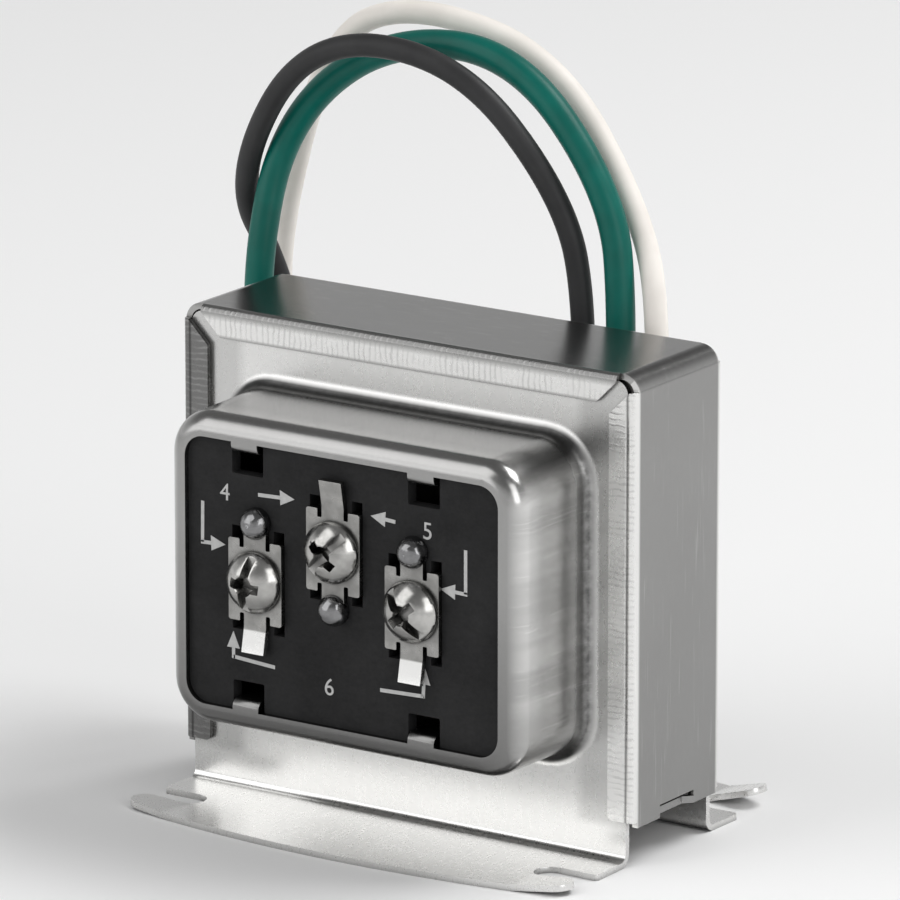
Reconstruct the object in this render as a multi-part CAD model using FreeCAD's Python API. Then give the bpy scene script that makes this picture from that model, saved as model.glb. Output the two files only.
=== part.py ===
"""Doorbell transformer with three screw terminals and three leads.

Millimetres, +Z up. The terminal side faces -Y and the feet stand on Z = 0.
"""
import FreeCAD
import Part

import math
import os

from FreeCAD import Vector

# Sheet metal and the band round the core
sheet = 0.7
band_width = 59.5
band_depth = 17.4
band_height = 50.5
band_lift = 4.7
band_corner_radius = 2.2
flange_width = 3.4
flange_bend_radius = 0.8
flange_end_rise = 0.6
flange_end_radius = 0.6
side_mitre_drop = 4.46
top_mitre_inset = 5.1

# Pressed-in tab at the foot of each side wall, which the core rests on
tab_length = 6.8
tab_joggle = 1.0
tab_depth = 0.9
tab_slit = 0.7

# Covers: plate, drawn box and foot
cover_edge_gap = 0.05
cover_side_play = 0.3
box_projection = 13.3
rear_projection = 11.4
box_drop = 0.75
opening_half_width = 20.5
coil_room = 0.42
opening_corner_radius = 2.5
front_lip = 0.15
front_rim_radius = 2.4
front_base_radius = 1.7
front_draft = 1.0
rear_half_width = 21.0
rear_corner_radius = 2.2
rear_lip = 0.4
rear_rim_radius = 1.3
rear_base_radius = 2.2
rear_draft = 3.0
foot_bend_radius = 0.8
foot_reach = 15.7
slot_near_side = 5.75
slot_width = 3.7
slot_length = 6.98
prong_corner_radius = 0.5
prong_flare = 0.1
prong_tip_inset = 1.32
prong_tip_radius = 1.75
prong_hinge = 0.5
front_left_prong_bend = 3.5
front_right_prong_bend = 5.5
rear_right_prong_bend = 16.0

# Lugs of the front opening, turned back through the notches of the board
lug_width = 3.4
lug_flat = 0.25
lug_bend_radius = 0.3
lug_length = 3.3
notch_centre_offset = -1.05
notch_half_pitch = 11.55
notch_width = 4.1
notch_depth_top = 3.7
notch_depth_bottom = 3.2
notch_corner_radius = 0.2

# Terminal board and its three terminals
board_thickness = 1.6
board_overlap = 0.15
terminal_pitch = 10.3
terminal_row_offset = -0.95
outer_terminal_drop = 0.25
centre_terminal_rise = 4.75
plate_thickness = 0.7
plate_half_width = 3.5
plate_half_length = 4.65
plate_corner_radius = 0.3
plate_notch_inner = 1.45
plate_notch_outer = 2.0
plate_notch_depth = 0.95
plate_notch_radius = 0.15
neck_length = 3.4
neck_end_radius = 1.2
tab_root = 0.4
tab_rise = 11.0
tab_reach = 3.0
claw_width = 0.8
claw_thickness = 0.7
claw_inset = 0.75
claw_length = 2.3
claw_slot_gap = 0.3
claw_slot_reach = 0.9
screw_hole_gap = 0.05
board_hole_gap = 0.15

# Terminal screws
screw_shank = 3.5
screw_shank_length = 4.2
screw_head = 6.9
screw_head_height = 2.5
screw_head_edge = 0.5
screw_slot_width = 1.1
screw_slot_depth = 1.5
screw_cross_length = 4.2
screw_cross_root = 2.2
screw_cross_depth = 1.9
screw_recess = 2.5
screw_recess_root = 0.8
screw_end_chamfer = 0.4
left_slot_angle = 8.0
centre_slot_angle = 42.0
right_slot_angle = -42.0

# Solder joints and the taps of the secondary winding
solder_offset = 6.55
solder_radius = 1.75
solder_height = 1.5
tap_wire = 0.8
tap_hole_gap = 0.1
tap_bend_radius = 1.0
tap_standoff = 2.3
centre_tap_start_rise = 2.8

# Core of E and I laminations: three legs and two windows share the width in sixths
core_side_gap = 0.475
core_seat_height = 0.8
core_sixths = 6
core_corner_radius = 1.5

# Bobbin with two chambers, one winding in each
bobbin_gap = 0.2
bobbin_wall = 0.775
bobbin_flange = 1.0
bobbin_side_gap = 0.35
bobbin_flange_margin = 0.3
bobbin_corner_radius = 0.8
bobbin_end_gap = 0.05
winding_build = 4.8
wrap_thickness = 0.3

# Leads, their bushing and what they join to
lead_pitch = 4.8
lead_row_centre = 12.1
lead_row_inset = 3.8
hot_lead_diameter = 2.65
ground_lead_diameter = 3.3
lead_hole_gap = 0.05
bushing_wall = 0.5
bushing_flange = 0.6
bushing_flange_thickness = 1.1
bushing_ridge = 0.2
bushing_ridge_thickness = 0.6
bushing_fit = 0.05
hot_conductor = 1.2
ground_conductor = 1.6
stripped_length = 10.0
splice_radius = 1.6
splice_length = 6.0
primary_wire = 0.6
primary_wire_bend = 1.0
primary_wire_drop = 4.2
barrel_radius = 1.8
barrel_length = 3.0
lug_strap = 0.8
lug_half_width = 2.2
lug_drop = 7.5
rivet_shank = 2.4
rivet_head = 4.2
rivet_head_height = 1.2
rivet_tail = 3.6
rivet_tail_height = 0.8
rivet_inset = 2.6

# Routes of the leads beyond their first two points
black_route = [
    (4.7, 15.6, 66.6),
    (-8.6, 14.1, 81.2),
    (-28.4, 13.5, 81.2),
    (-39.9, 15.3, 63.0),
    (-36.8, 20.4, 51.8),
    (-31.5, 19.8, 34.1),
    (-32.0, 20.4, 23.5),
]
green_route = [
    (9.7, 17.6, 67.3),
    (-4.0, 18.8, 81.7),
    (-22.0, 19.0, 80.6),
    (-34.7, 18.2, 69.8),
    (-35.2, 12.9, 53.4),
    (-34.7, 14.2, 36.5),
    (-34.2, 14.2, 25.0),
]
white_route = [
    (11.5, 21.0, 64.4),
    (-1.8, 23.8, 80.4),
    (-21.0, 23.7, 84.2),
    (-32.4, 23.7, 78.9),
    (-39.4, 23.7, 55.6),
    (-38.8, 23.5, 42.5),
    (-37.9, 22.9, 32.0),
]
lead_inside_length = 4.25
lead_first_run = 12.0

# Sizes that follow from the ones above
half_width = band_width / 2
half_depth = band_depth / 2
band_top = band_lift + band_height
band_inner_top = band_top - sheet
plate_front = -half_depth + sheet
plate_back = plate_front + sheet
cover_half_width = half_width - flange_bend_radius - cover_edge_gap - cover_side_play
cover_top = band_top - flange_bend_radius - cover_edge_gap
box_front = plate_front - box_projection
rear_back = -plate_front + rear_projection
rear_lean = math.radians(rear_draft)
foot_bend_outer = foot_bend_radius + sheet
board_front = box_front + sheet
board_back = board_front + board_thickness
plate_face = board_front - plate_thickness
stack = 2 * -plate_back
core_width = band_width - 2 * (sheet + core_side_gap)
core_leg = core_width / core_sixths
core_bottom = band_lift + core_seat_height
window_bottom = core_bottom + core_leg
window_top = band_inner_top - core_leg
window_middle = (window_bottom + window_top) / 2
box_centre_height = window_middle - box_drop
box_inner_half_height = window_top - box_centre_height + coil_room
opening_half_height = box_inner_half_height - (rear_rim_radius - sheet) - rear_lip
outer_terminal_height = box_centre_height - outer_terminal_drop
centre_terminal_height = box_centre_height + centre_terminal_rise
prong_tip_centre = cover_half_width - prong_tip_inset
slot_end = prong_tip_centre + prong_tip_radius - slot_length
tube_half_width = core_leg + bobbin_gap + bobbin_wall
tube_half_depth = stack / 2 + bobbin_gap + bobbin_wall
bobbin_flange_half_width = core_width / 2 - core_leg - bobbin_side_gap
bobbin_flange_half_depth = tube_half_depth + winding_build + wrap_thickness + bobbin_flange_margin
lead_row_depth = rear_back - lead_row_inset
origin = Vector(0, 0, 0)
axis_x = Vector(1, 0, 0)
axis_y = Vector(0, 1, 0)
axis_z = Vector(0, 0, 1)


def flat(y):
    """Places outline points (x, z) on the plane at depth y."""
    return lambda a, b: Vector(a, y, b)


def level(z):
    """Places outline points (x, y) on the plane at height z."""
    return lambda a, b: Vector(a, b, z)


def profile(x):
    """Places outline points (y, z) on the plane at width x."""
    return lambda a, b: Vector(x, a, b)


def outline(corners, place):
    """Face inside the corners (a, b, radius), each rounded by its radius."""
    spans = []
    count = len(corners)
    for index, (a, b, radius) in enumerate(corners):
        here = Vector(a, b, 0)
        before = Vector(*corners[index - 1][:2], 0)
        after = Vector(*corners[(index + 1) % count][:2], 0)
        if radius == 0:
            spans.append((here, None, here))
            continue
        to_before = (before - here).normalize()
        to_after = (after - here).normalize()
        half = to_before.getAngle(to_after) / 2
        reach = radius / math.tan(half)
        inward = (to_before + to_after).normalize()
        middle = here + inward * (radius / math.sin(half) - radius)
        spans.append((here + to_before * reach, middle, here + to_after * reach))
    edges = []
    for index, (start, middle, end) in enumerate(spans):
        if middle is not None:
            spots = [place(point.x, point.y) for point in (start, middle, end)]
            edges.append(Part.Arc(*spots).toShape())
        following = spans[(index + 1) % count][0]
        if end.distanceToPoint(following) > 1e-6:
            edges.append(Part.LineSegment(place(end.x, end.y), place(following.x, following.y)).toShape())
    return Part.Face(Part.Wire(edges))


def rectangle(half_a, half_b, radius, centre_a=0.0, centre_b=0.0):
    """Corners of a rounded rectangle."""
    return [
        (centre_a - half_a, centre_b - half_b, radius),
        (centre_a + half_a, centre_b - half_b, radius),
        (centre_a + half_a, centre_b + half_b, radius),
        (centre_a - half_a, centre_b + half_b, radius),
    ]


def slot_face(half_length, radius, z):
    """Obround face along X, centred on the Z axis at height z."""
    straight = half_length - radius
    corners = [
        Vector(-straight, -radius, z),
        Vector(straight, -radius, z),
        Vector(straight, radius, z),
        Vector(-straight, radius, z),
    ]
    edges = [
        Part.LineSegment(corners[0], corners[1]).toShape(),
        Part.Arc(corners[1], Vector(half_length, 0, z), corners[2]).toShape(),
        Part.LineSegment(corners[2], corners[3]).toShape(),
        Part.Arc(corners[3], Vector(-half_length, 0, z), corners[0]).toShape(),
    ]
    return Part.Face(Part.Wire(edges))


def block(x0, x1, y0, y1, z0, z1):
    """Box between two corners."""
    return Part.makeBox(x1 - x0, y1 - y0, z1 - z0, Vector(x0, y0, z0))


def joined(shapes):
    """One solid from pieces that touch or overlap."""
    return shapes[0].multiFuse(shapes[1:]).removeSplitter()


def mirror_x(shape):
    return shape.mirror(origin, axis_x)


def mirror_y(shape):
    return shape.mirror(origin, axis_y)


def polar(centre, radius, direction):
    """Point of an arc's plane at a radius along a direction."""
    return centre + direction * radius


def bend(centre, outer_radius, thickness, start, end):
    """Face of a quarter bend of sheet between two directions."""
    middle = (start + end).normalize()
    inner_radius = outer_radius - thickness
    edges = [
        Part.Arc(*[polar(centre, outer_radius, way) for way in (start, middle, end)]).toShape(),
        Part.LineSegment(polar(centre, outer_radius, end), polar(centre, inner_radius, end)).toShape(),
        Part.Arc(*[polar(centre, inner_radius, way) for way in (end, middle, start)]).toShape(),
        Part.LineSegment(polar(centre, inner_radius, start), polar(centre, outer_radius, start)).toShape(),
    ]
    return Part.Face(Part.Wire(edges))


def cap_height(radius, height, distance):
    """Height of a round cap, of a base radius and a height, at a distance from its axis."""
    ball = (radius ** 2 + height ** 2) / (2 * height)
    return math.sqrt(ball ** 2 - distance ** 2) - (ball - height)


def round_path(points):
    """Wire of straight runs joined by tangent arcs as large as the runs allow, with the radii and length."""
    edges = []
    radii = []
    length = 0.0
    last = points[0]
    for before, here, after in zip(points, points[1:], points[2:]):
        to_before = before - here
        to_after = after - here
        shorter = min(to_before.Length, to_after.Length)
        to_before.normalize()
        to_after.normalize()
        half_turn = (math.pi - to_before.getAngle(to_after)) / 2
        reach = 0.45 * shorter
        radius = reach / math.tan(half_turn)
        inward = (to_before + to_after).normalize()
        middle = here + inward * (radius / math.cos(half_turn) - radius)
        start = here + to_before * reach
        end = here + to_after * reach
        edges.append(Part.LineSegment(last, start).toShape())
        edges.append(Part.Arc(start, middle, end).toShape())
        length += last.distanceToPoint(start) + radius * 2 * half_turn
        radii.append(radius)
        last = end
    edges.append(Part.LineSegment(last, points[-1]).toShape())
    length += last.distanceToPoint(points[-1])
    return Part.Wire(edges), radii, length


def tube(points, diameter):
    """Round solid along a path of straight runs and arcs, with the radii and length of the path."""
    wire, radii, length = round_path(points)
    ring = Part.Wire(Part.makeCircle(diameter / 2, points[0], points[1] - points[0]))
    solid = wire.makePipeShell([ring], True, False)
    return solid, radii, length


def bent_wire(points, diameter, radius):
    """Round wire with equal bends, made of cylinders and parts of rings."""
    pieces = []
    last = points[0]
    for before, here, after in zip(points, points[1:], points[2:]):
        to_before = (before - here).normalize()
        to_after = (after - here).normalize()
        start = here + to_before * radius
        centre = start + to_after * radius
        pieces.append(Part.makeCylinder(diameter / 2, last.distanceToPoint(start), last, to_before * -1))
        ring = Part.Face(Part.Wire(Part.makeCircle(diameter / 2, start, to_before)))
        pieces.append(ring.revolve(centre, to_after.cross(to_before), 90))
        last = here + to_after * radius
    final = points[-1] - last
    pieces.append(Part.makeCylinder(diameter / 2, final.Length, last, final))
    return joined(pieces)


def band():
    """Strap over the left side, the top and the right side, with flanges turned in along both edges."""
    web_half = half_depth - flange_bend_radius
    inner_radius = band_corner_radius - sheet
    strap = outline([
        (-half_width, band_lift, 0),
        (-half_width, band_top, band_corner_radius),
        (half_width, band_top, band_corner_radius),
        (half_width, band_lift, 0),
        (half_width - sheet, band_lift, 0),
        (half_width - sheet, band_inner_top, inner_radius),
        (-half_width + sheet, band_inner_top, inner_radius),
        (-half_width + sheet, band_lift, 0),
    ], flat(-web_half)).extrude(axis_y * (2 * web_half))

    side_bend_line = half_width - flange_bend_radius
    side_edge = half_width - flange_width
    side_mitre = band_top - side_mitre_drop
    side_end = side_mitre + side_bend_line - side_edge
    side_start = band_lift + flange_end_rise
    side_flat = outline([
        (side_bend_line, side_start, 0),
        (side_bend_line, side_end, 0),
        (side_edge, side_mitre, 0),
        (side_edge, side_start, flange_end_radius),
    ], flat(-half_depth)).extrude(axis_y * sheet)
    side_turn = bend(Vector(side_bend_line, -web_half, side_start), flange_bend_radius, sheet, axis_x, axis_y * -1)
    side_turn = side_turn.extrude(axis_z * (side_end - side_start))

    top_bend_line = band_top - flange_bend_radius
    top_edge = band_top - flange_width
    top_narrow = half_width - top_mitre_inset
    top_wide = top_narrow + top_bend_line - top_edge
    top_flat = outline([
        (-top_narrow, top_edge, 0),
        (top_narrow, top_edge, 0),
        (top_wide, top_bend_line, 0),
        (-top_wide, top_bend_line, 0),
    ], flat(-half_depth)).extrude(axis_y * sheet)
    top_turn = bend(Vector(-top_wide, -web_half, top_bend_line), flange_bend_radius, sheet, axis_z, axis_y * -1)
    top_turn = top_turn.extrude(axis_x * (2 * top_wide))

    front = [side_flat, side_turn, mirror_x(side_flat), mirror_x(side_turn), top_flat, top_turn]
    whole = joined([strap] + front + [mirror_y(piece) for piece in front])

    half_tab = tab_length / 2
    window = block(half_width - 2 * sheet, half_width + sheet, -half_tab, half_tab,
                   band_lift - sheet, core_bottom + tab_slit)
    wall_in = half_width - sheet
    pressed = outline([
        (half_width, -half_tab, 0),
        (half_width - tab_depth, -half_tab + tab_joggle, 0),
        (half_width - tab_depth, half_tab - tab_joggle, 0),
        (half_width, half_tab, 0),
        (wall_in, half_tab, 0),
        (wall_in - tab_depth, half_tab - tab_joggle, 0),
        (wall_in - tab_depth, -half_tab + tab_joggle, 0),
        (wall_in, -half_tab, 0),
    ], level(band_lift)).extrude(axis_z * (core_bottom - band_lift))
    whole = whole.cut(window).cut(mirror_x(window))
    return joined([whole, pressed, mirror_x(pressed)])


def box_section(face, lip, rim_radius, base_radius, draft):
    """Sheet section of a drawn box with its front at depth face, out from the opening's edge along X.

    It runs from the lip over the rim and down the wall, which leans by the draft, to the base curve.
    """
    lean = math.radians(draft)
    out = Vector(math.cos(lean), -math.sin(lean), 0)
    along = Vector(math.sin(lean), math.cos(lean), 0)
    front = axis_y * -1
    rim_centre = Vector(lip, face + rim_radius, 0)
    rise = (plate_front - base_radius) - rim_centre.y + (rim_radius + base_radius) * math.sin(lean)
    wall = rise / math.cos(lean)
    base_centre = rim_centre + out * (rim_radius + base_radius) + along * wall
    inner_rim = rim_radius - sheet
    outer_base = base_radius + sheet
    rim_middle = (out + front).normalize()
    base_middle = (axis_y - out).normalize()
    edge = Vector(0, face, 0)
    edge_back = Vector(0, face + sheet, 0)
    end_front = polar(base_centre, base_radius, axis_y)
    end_back = polar(base_centre, outer_base, axis_y)
    edges = [
        Part.LineSegment(edge, polar(rim_centre, rim_radius, front)).toShape(),
        Part.Arc(*[polar(rim_centre, rim_radius, way) for way in (front, rim_middle, out)]).toShape(),
        Part.LineSegment(polar(rim_centre, rim_radius, out), polar(base_centre, base_radius, out * -1)).toShape(),
        Part.Arc(*[polar(base_centre, base_radius, way) for way in (out * -1, base_middle, axis_y)]).toShape(),
        Part.LineSegment(end_front, end_back).toShape(),
        Part.Arc(*[polar(base_centre, outer_base, way) for way in (axis_y, base_middle, out * -1)]).toShape(),
        Part.LineSegment(polar(base_centre, outer_base, out * -1), polar(rim_centre, inner_rim, out)).toShape(),
        Part.Arc(*[polar(rim_centre, inner_rim, way) for way in (out, rim_middle, front)]).toShape(),
        Part.LineSegment(polar(rim_centre, inner_rim, front), edge_back).toShape(),
        Part.LineSegment(edge_back, edge).toShape(),
    ]
    return Part.Face(Part.Wire(edges)), base_centre.x


def cover(half_width, corner_radius, section, base_reach, prong_bends):
    """Cover with a drawn box of a half width, corner radius and section: plate, box, and foot turned out below.

    The plate and the foot lie against the left wall of the band, the box is in the middle.
    """
    flat_half_width = half_width - corner_radius
    flat_half_height = opening_half_height - corner_radius
    pieces = []
    side = section.copy()
    side.translate(Vector(half_width, 0, box_centre_height - flat_half_height))
    side = side.extrude(axis_z * (2 * flat_half_height))
    pieces += [side, mirror_x(side)]
    top = section.copy()
    top.rotate(origin, axis_y, -90)
    top.translate(Vector(-flat_half_width, 0, box_centre_height + opening_half_height))
    top = top.extrude(axis_x * (2 * flat_half_width))
    middle = Vector(0, 0, box_centre_height)
    pieces += [top, top.mirror(middle, axis_z)]
    corner = section.copy()
    corner.translate(Vector(half_width, 0, box_centre_height + flat_half_height))
    corner = corner.revolve(Vector(flat_half_width, 0, box_centre_height + flat_half_height), axis_y * -1, 90)
    low_corner = corner.mirror(middle, axis_z)
    pieces += [corner, mirror_x(corner), low_corner, mirror_x(low_corner)]

    left = -cover_half_width - cover_side_play
    right = cover_half_width - cover_side_play
    top_radius = band_corner_radius - sheet
    plate = outline([
        (left, foot_bend_outer, 0),
        (right, foot_bend_outer, 0),
        (right, cover_top, top_radius),
        (left, cover_top, top_radius),
    ], flat(plate_front))
    hole = outline(rectangle(half_width + base_reach, opening_half_height + base_reach,
                             corner_radius + base_reach, 0, box_centre_height), flat(plate_front))
    pieces.append(plate.cut(hole).extrude(axis_y * sheet))

    bend_centre = Vector(left, plate_front - foot_bend_radius, foot_bend_outer)
    turn = bend(bend_centre, foot_bend_outer, sheet, axis_y, axis_z * -1)
    pieces.append(turn.extrude(axis_x * (right - left)))
    base = foot()
    for side, angle in prong_bends:
        base = with_bent_prong(base, side, angle)
    base.translate(Vector(-cover_side_play, 0, 0))
    pieces.append(base)
    return joined(pieces)


def foot():
    """Foot with a slot open to each side, a straight inner prong and a rounded outer prong.

    The front edge is one arc that runs into the rounded tips of the outer prongs.
    """
    slot_radius = slot_width / 2
    slot_far_side = slot_near_side + slot_width
    slot_centre = slot_end + slot_radius
    tip_depth = slot_far_side + prong_tip_radius
    prong_end = cover_half_width + prong_flare
    tip_inset = foot_reach - tip_depth
    front_radius = tip_inset ** 2 + prong_tip_centre ** 2 - prong_tip_radius ** 2
    front_radius = front_radius / (2 * (tip_inset - prong_tip_radius))
    slope = math.asin(prong_tip_centre / (front_radius - prong_tip_radius))

    def spot(x, reach):
        return Vector(x, plate_front - reach, 0)

    half = [
        spot(cover_half_width, foot_bend_radius),
        spot(prong_end, slot_near_side - prong_corner_radius),
        spot(prong_end - prong_corner_radius, slot_near_side),
        spot(slot_centre, slot_near_side),
        spot(slot_end, slot_near_side + slot_radius),
        spot(slot_centre, slot_far_side),
        spot(prong_tip_centre, slot_far_side),
        spot(prong_tip_centre + prong_tip_radius, tip_depth),
        spot(prong_tip_centre + prong_tip_radius * math.sin(slope),
             tip_depth + prong_tip_radius * math.cos(slope)),
    ]
    corner_middle = spot(prong_end - prong_corner_radius * (1 - math.sqrt(0.5)),
                         slot_near_side - prong_corner_radius * (1 - math.sqrt(0.5)))
    right = [
        Part.LineSegment(half[0], half[1]).toShape(),
        Part.Arc(half[1], corner_middle, half[2]).toShape(),
        Part.LineSegment(half[2], half[3]).toShape(),
        Part.Arc(half[3], half[4], half[5]).toShape(),
        Part.LineSegment(half[5], half[6]).toShape(),
        Part.Arc(half[6], half[7], half[8]).toShape(),
    ]
    left = [mirror_x(edge) for edge in reversed(right)]
    far_left = Vector(-half[8].x, half[8].y, 0)
    near_left = Vector(-half[0].x, half[0].y, 0)
    front_edge = Part.Arc(half[8], spot(0, foot_reach), far_left).toShape()
    back_edge = Part.LineSegment(near_left, half[0]).toShape()
    ordered = Part.__sortEdges__(right + [front_edge] + left + [back_edge])
    return Part.Face(Part.Wire(ordered)).extrude(axis_z * sheet)


def with_bent_prong(base, side, angle):
    """Foot with the outer prong of one side, -1 left or 1 right, bent up near the end of its slot."""
    hinge = slot_end + prong_hinge
    slot_line = plate_front - slot_near_side - slot_width / 2
    region = block(hinge, band_width, slot_line - foot_reach, slot_line, -sheet, 2 * sheet)
    if side < 0:
        region = mirror_x(region)
    prong = base.common(region)
    prong.rotate(Vector(side * hinge, 0, 0), axis_y, -side * angle)
    return joined([base.cut(region), prong])


def front_cover():
    """Cover with four lugs of the opening turned back through the notches of the board."""
    outer = lug_bend_radius + sheet
    start = opening_half_height - lug_flat

    def lug(x):
        low = x - lug_width / 2
        turn_centre = Vector(low, box_front + outer, start)
        turn = bend(turn_centre, outer, sheet, axis_y * -1, axis_z * -1).extrude(axis_x * lug_width)
        root = block(low, low + lug_width, box_front, box_front + sheet, start, opening_half_height + front_lip)
        leg = block(low, low + lug_width, box_front + outer, box_front + outer + lug_length,
                    start - outer, start - lug_bend_radius)
        return joined([turn, root, leg])

    section, base_reach = box_section(box_front, front_lip, front_rim_radius, front_base_radius, front_draft)
    prong_bends = [(-1, front_left_prong_bend), (1, front_right_prong_bend)]
    pieces = [cover(opening_half_width, opening_corner_radius, section, base_reach, prong_bends)]
    for x in (notch_centre_offset - notch_half_pitch, notch_centre_offset + notch_half_pitch):
        upper = lug(x)
        lower = upper.mirror(origin, axis_z)
        for piece in (upper, lower):
            piece.translate(Vector(0, 0, box_centre_height))
            pieces.append(piece)
    return joined(pieces)


def bushing_place(shape):
    """Moves a shape from the bushing's own frame, with its flange on Z = 0, to the top wall of the rear box."""
    moved = shape.copy()
    moved.rotate(origin, axis_x, -rear_draft)
    moved.translate(Vector(lead_row_centre, lead_row_depth, wall_height(lead_row_depth)))
    return moved


def wall_height(y):
    """Height of the outside of the rear box's top wall at a depth."""
    rim_start = rear_back - rear_rim_radius + rear_rim_radius * math.sin(rear_lean)
    crest = box_centre_height + opening_half_height + rear_lip + rear_rim_radius * math.cos(rear_lean)
    return crest + (rim_start - y) * math.tan(rear_lean)


def bushing_half_sizes():
    """Half length and half width of the bushing's body."""
    half_length = lead_pitch + hot_lead_diameter / 2 + lead_hole_gap + bushing_wall
    half_wide = ground_lead_diameter / 2 + lead_hole_gap + bushing_wall
    return half_length, half_wide


def lead_places():
    """Row position and diameter of each lead in its bushing."""
    return [
        (-lead_pitch, hot_lead_diameter),
        (0.0, ground_lead_diameter),
        (lead_pitch, hot_lead_diameter),
    ]


def bushing():
    """Insulating bushing snapped into the top wall of the rear box."""
    long, wide = bushing_half_sizes()
    flange = slot_face(long + bushing_flange, wide + bushing_flange, 0).extrude(axis_z * bushing_flange_thickness)
    body = slot_face(long, wide, -sheet).extrude(axis_z * sheet)
    ridge = slot_face(long + bushing_ridge, wide + bushing_ridge, -sheet - bushing_ridge_thickness)
    ridge = ridge.extrude(axis_z * bushing_ridge_thickness)
    whole = joined([flange, body, ridge])
    depth = sheet + bushing_ridge_thickness + bushing_flange_thickness
    for offset, diameter in lead_places():
        base = Vector(offset, 0, -sheet - bushing_ridge_thickness)
        whole = whole.cut(Part.makeCylinder(diameter / 2 + lead_hole_gap, depth, base))
    return bushing_place(whole)


def rear_cover():
    """Cover turned to the back, with a shallower closed box.

    The leads leave through an opening in the top wall, and the earth rivet sits in the back.
    """
    section, base_reach = box_section(-rear_back, rear_lip, rear_rim_radius, rear_base_radius, rear_draft)
    whole = cover(rear_half_width, rear_corner_radius, section, base_reach, [(-1, rear_right_prong_bend)])
    whole.rotate(origin, axis_z, 180)
    back = outline(rectangle(rear_half_width + rear_lip, opening_half_height + rear_lip,
                             rear_corner_radius + rear_lip, 0, box_centre_height), flat(rear_back - sheet))
    whole = joined([whole, back.extrude(axis_y * sheet)])
    long, wide = bushing_half_sizes()
    opening = slot_face(long + bushing_fit, wide + bushing_fit, -2 * sheet).extrude(axis_z * (3 * sheet))
    whole = whole.cut(bushing_place(opening))
    base = rivet_point() - axis_y * sheet
    return whole.cut(Part.makeCylinder(rivet_shank / 2, 3 * sheet, base, axis_y))


def rivet_point():
    """Centre of the earth rivet on the inside of the rear box's back."""
    shelf = lead_point(0.0, -barrel_length).z
    return Vector(lead_row_centre, rear_back - sheet, shelf - lug_drop + rivet_inset)


def lead_point(offset, along):
    """Point on a lead's straight first run, measured up from the lead's inner end."""
    way = Vector(0, math.sin(rear_lean), math.cos(rear_lean))
    start = Vector(lead_row_centre + offset, lead_row_depth, wall_height(lead_row_depth))
    return start + way * (along - lead_inside_length)


def terminals():
    """Centre, turn and name of each terminal: the centre one stands upside down."""
    return [
        ("left", Vector(terminal_row_offset - terminal_pitch, 0, outer_terminal_height), 0, left_slot_angle),
        ("centre", Vector(terminal_row_offset, 0, centre_terminal_height), 180, centre_slot_angle),
        ("right", Vector(terminal_row_offset + terminal_pitch, 0, outer_terminal_height), 0, right_slot_angle),
    ]


def seat(shape, centre, turn):
    """Moves a shape from a terminal's own frame to its place on the board."""
    moved = shape.copy()
    moved.rotate(origin, axis_y, turn)
    moved.translate(centre)
    return moved


def claw_places():
    """Corners of a terminal plate where its claws go through the board."""
    a = plate_half_width - claw_inset
    b = plate_half_length - claw_thickness / 2
    return [(-a, -b), (a, -b), (a, b), (-a, b)]


def board():
    """Punched insulating board behind the opening of the front cover."""
    whole = outline(rectangle(opening_half_width + board_overlap, opening_half_height + board_overlap,
                              opening_corner_radius + board_overlap, 0, box_centre_height), flat(board_front))
    whole = whole.extrude(axis_y * board_thickness)
    over = board_overlap + sheet
    for x in (notch_centre_offset - notch_half_pitch, notch_centre_offset + notch_half_pitch):
        for sign, depth in ((1, notch_depth_top), (-1, notch_depth_bottom)):
            half_tall = (depth + over) / 2
            centre = box_centre_height + sign * (opening_half_height + over - half_tall)
            notch = rectangle(notch_width / 2, half_tall, notch_corner_radius, x, centre)
            whole = whole.cut(outline(notch, flat(board_front)).extrude(axis_y * board_thickness))
    for name, centre, turn, angle in terminals():
        screw_base = Vector(0, board_front, 0)
        cutters = [Part.makeCylinder(screw_shank / 2 + board_hole_gap, board_thickness, screw_base, axis_y)]
        tap_base = Vector(0, board_front, solder_offset)
        cutters.append(Part.makeCylinder(tap_wire / 2 + tap_hole_gap, board_thickness, tap_base, axis_y))
        for a, b in claw_places():
            half_a = claw_width / 2 + claw_slot_gap
            half_b = claw_thickness / 2 + claw_slot_gap
            low = b - half_b - (claw_slot_reach if b < 0 else 0)
            high = b + half_b + (claw_slot_reach if b > 0 else 0)
            cutters.append(block(a - half_a, a + half_a, board_front, board_back, low, high))
        for cutter in cutters:
            whole = whole.cut(seat(cutter, centre, turn))
    return whole


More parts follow.
